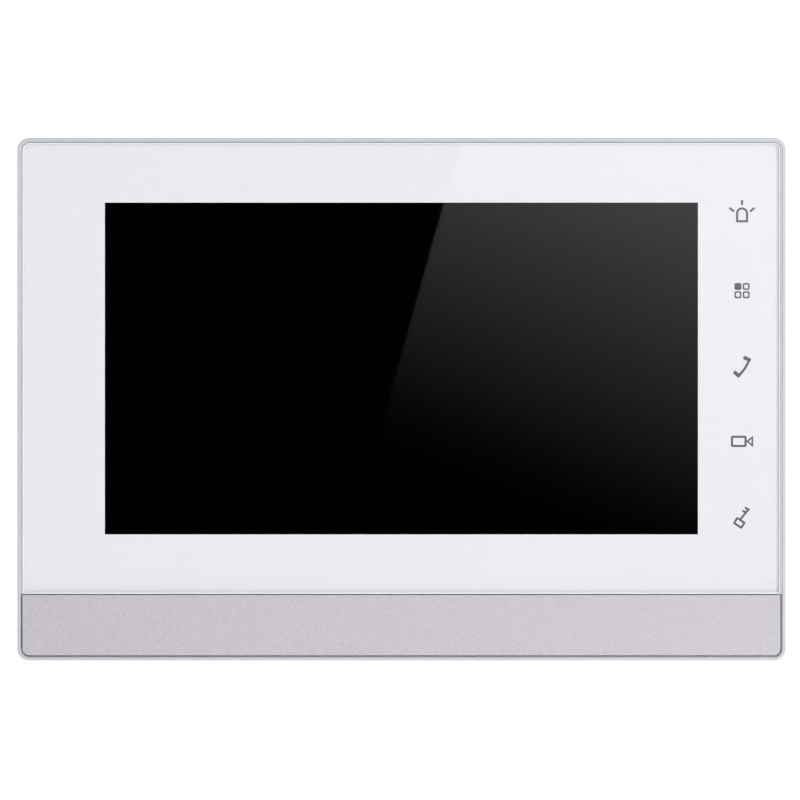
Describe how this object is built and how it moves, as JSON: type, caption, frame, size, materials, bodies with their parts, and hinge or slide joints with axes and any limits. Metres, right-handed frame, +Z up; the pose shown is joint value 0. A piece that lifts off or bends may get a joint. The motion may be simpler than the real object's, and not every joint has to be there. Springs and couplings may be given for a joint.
{
  "type": "video intercom monitor",
  "caption": "Flat indoor video intercom monitor with a wide display, a column of touch keys and a trim bar, hung on a steel wall bracket.",
  "frame": {"origin": "centre of the wall bracket's two screw slots, on its wall face", "axes": "+X right as seen from the front, +Y into the wall, +Z up"},
  "size_m": [0.2, 0.026, 0.136],
  "materials": {
    "frame_plastic": "fine satin silver-grey moulding",
    "bar_paint": "silver metallic paint with fine sparkle",
    "cover_glass": "polished",
    "white_ink": "smooth white ink seen through glass",
    "grey_ink": "flat grey ink",
    "black_foam": "matte closed-cell foam",
    "sensor_film": "clear coated glass",
    "flex_film": "amber polyimide",
    "clear_plastic": "clear acrylic",
    "circuit_board": "green solder mask",
    "led_package": "phosphor yellow",
    "flat_cable": "white film cable",
    "sheet_steel": "bright zinc plate",
    "bracket_steel": "zinc-plated sheet",
    "lcd_glass": "polished black polariser",
    "white_plastic": "plain moulded",
    "screw_steel": "zinc plate",
    "brass_part": "turned",
    "chip_package": "moulded epoxy",
    "heat_pad": "soft silicone",
    "ferrite": "sintered",
    "capacitor_can": "bright can",
    "cell_can": "nickel plate",
    "black_plastic": "fine texture",
    "socket_plastic": "plain moulded",
    "gold_contact": "gold flash",
    "green_plastic": "plain moulded",
    "speaker_paper": "pressed paper",
    "red_wire": "smooth insulation",
    "mic_can": "drawn can",
    "rubber_boot": "matte",
    "cover_plastic": "fine spark-eroded texture"
  },
  "bodies": {
    "bracket": {"wall_bracket": "bracket_steel"},
    "monitor": {"front_frame": "frame_plastic", "trim_bar": "bar_paint", "cover_glass": "cover_glass", "glass_print": "white_ink", "key_symbols": "grey_ink", "glass_tape": "black_foam", "touch_sensor": "sensor_film", "touch_flex": "flex_film", "key_light_guide": "clear_plastic", "key_board": "circuit_board", "key_leds": "led_package", "key_flex": "flat_cable", "lcd_gasket": "black_foam", "lcd_bezel": "sheet_steel", "lcd_panel": "lcd_glass", "backlight_guide": "clear_plastic", "backlight_leds": "led_package", "lcd_tray": "white_plastic", "lcd_flex": "flex_film", "chassis_plate": "sheet_steel", "chassis_screws": "screw_steel", "board_standoffs": "brass_part", "main_board": "circuit_board", "board_screws": "screw_steel", "processor": "chip_package", "heat_pad": "heat_pad", "memory_chips": "chip_package", "network_transformer": "chip_package", "power_inductors": "ferrite", "capacitors": "capacitor_can", "audio_amplifier": "chip_package", "coin_cell": "cell_can", "cell_holder": "black_plastic", "board_sockets": "socket_plastic", "network_jack": "black_plastic", "network_contacts": "gold_contact", "alarm_header": "green_plastic", "alarm_pins": "gold_contact", "power_header": "green_plastic", "power_pins": "gold_contact", "reset_switch": "black_plastic", "speaker_basket": "black_plastic", "speaker_cone": "speaker_paper", "speaker_magnet": "sheet_steel", "speaker_gasket": "black_foam", "speaker_leads": "red_wire", "microphone": "mic_can", "mic_boot": "rubber_boot", "mic_leads": "red_wire", "rear_cover": "cover_plastic", "case_screws": "screw_steel"},
    "reset_key": {"reset_plunger": "white_plastic"},
    "alarm_plug_group": {"alarm_plug": "green_plastic", "alarm_plug_screws": "screw_steel"},
    "power_plug_group": {"power_plug": "green_plastic", "power_plug_screws": "screw_steel"}
  },
  "joints": [
    {"name": "hang_lift", "type": "slide", "parent": "bracket", "child": "monitor", "axis": [0, 0, 1], "range_m": [0, 0.006]},
    {"name": "alarm_plug_pull", "type": "slide", "parent": "monitor", "child": "alarm_plug_group", "axis": [0, 0, -1], "range_m": [0, 0.007]},
    {"name": "power_plug_pull", "type": "slide", "parent": "monitor", "child": "power_plug_group", "axis": [0, 0, -1], "range_m": [0, 0.007]},
    {"name": "reset_press", "type": "slide", "parent": "monitor", "child": "reset_key", "axis": [0, -1, 0], "range_m": [0, 0.00025], "stiffness_N_per_m": 3000}
  ]
}
